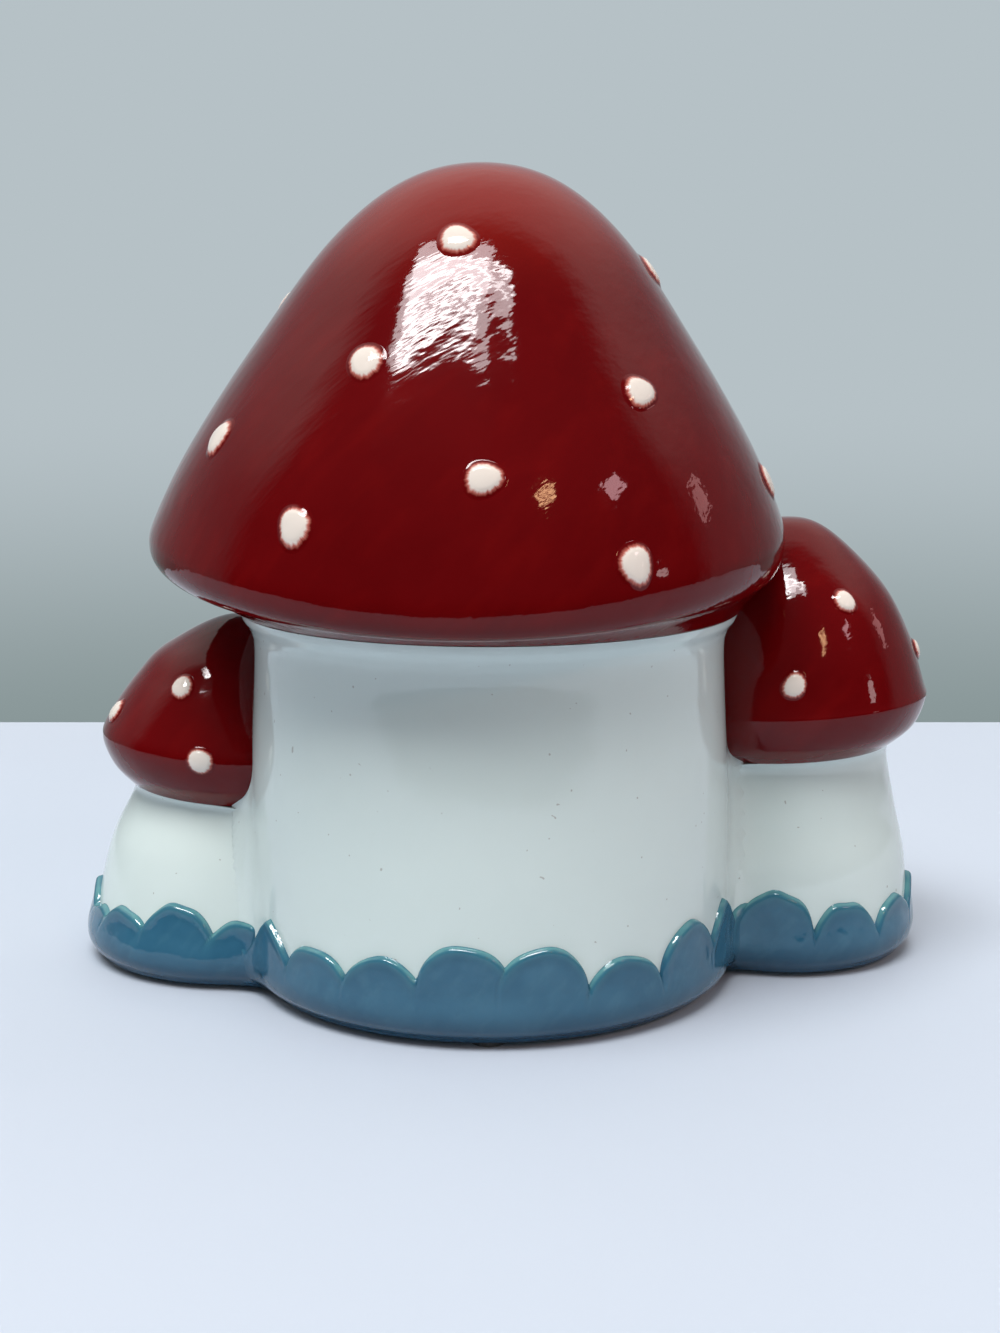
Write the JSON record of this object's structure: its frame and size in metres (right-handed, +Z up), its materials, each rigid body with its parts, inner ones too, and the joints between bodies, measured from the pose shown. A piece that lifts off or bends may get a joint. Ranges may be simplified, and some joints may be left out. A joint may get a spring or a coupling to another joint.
{
  "type": "led mushroom house",
  "caption": "Glazed ceramic mushroom house: a large mushroom between two small ones, with a leaf border, a door and windows, and a battery LED unit in its base.",
  "frame": {"origin": "centre of the footprint's bounding box, on the surface that the foam pads stand on", "axes": "+Z up; the door faces -Y; +X towards the short mushroom; the picture looks at the back, from +Y"},
  "size_m": [0.1565, 0.1106, 0.1432],
  "materials": {
    "red_glaze": "deep red underglaze below a clear gloss glaze",
    "white_glaze": "white body below a clear gloss glaze",
    "teal_glaze": "brushed blue-green underglaze below a clear gloss glaze",
    "brown_glaze": "brushed brown underglaze below a clear gloss glaze",
    "stone_glaze": "warm grey underglaze below a clear gloss glaze",
    "yellow_glaze": "ochre underglaze below a clear gloss glaze",
    "white_plastic": "moulded, fine grain",
    "frosted_plastic": "translucent, frosted",
    "grey_rubber": "matte",
    "pad_foam": "die-cut foam with a fine cell",
    "steel": "nickel plated",
    "board_lacquer": "green solder resist",
    "black_plastic": "moulded",
    "led_resin": "clear epoxy, warm white"
  },
  "bodies": {
    "root": {"main_stem": "white_glaze", "main_cap": "red_glaze", "short_stem": "white_glaze", "short_cap": "red_glaze", "tall_stem": "white_glaze", "tall_cap": "red_glaze", "base_floor": "white_glaze", "grass_back": "teal_glaze", "grass_front_short_side": "teal_glaze", "grass_front_tall_side": "teal_glaze", "grass_short": "teal_glaze", "grass_tall": "teal_glaze", "front_door": "brown_glaze", "door_frame": "stone_glaze", "door_knob": "yellow_glaze", "door_step": "stone_glaze", "window_short_side_frame": "brown_glaze", "window_tall_side_frame": "brown_glaze", "short_window_frame": "brown_glaze", "tall_window_frame": "brown_glaze", "foot_pad_back": "pad_foam", "foot_pad_front": "pad_foam", "foot_pad_short": "pad_foam", "foot_pad_tall": "pad_foam", "seal_ring": "grey_rubber", "led_housing": "white_plastic", "led_lens": "frosted_plastic", "led_bulb": "led_resin", "circuit_board": "board_lacquer", "switch_body": "steel", "button_cell_1": "steel", "button_cell_2": "steel", "button_cell_3": "steel", "contact_bridge": "steel", "contact_terminal": "steel"},
    "switch": {"switch_knob": "black_plastic"},
    "battery_cover": {"battery_door": "white_plastic", "door_contact": "steel"},
    "cover_screw": {"door_screw": "steel"}
  },
  "joints": [
    {"name": "switch_slide", "type": "slide", "parent": "root", "child": "switch", "axis": [1, 0, 0], "range_m": [0, 0.002]},
    {"name": "battery_door_lift", "type": "slide", "parent": "root", "child": "battery_cover", "axis": [0, 0, -1], "range_m": [0, 0.012]},
    {"name": "door_screw_turn", "type": "hinge", "parent": "battery_cover", "child": "cover_screw", "pos_m": [0.003, 0.0169, 0.0024], "axis": [0, 0, -1], "range_deg": [0, 1440]}
  ]
}
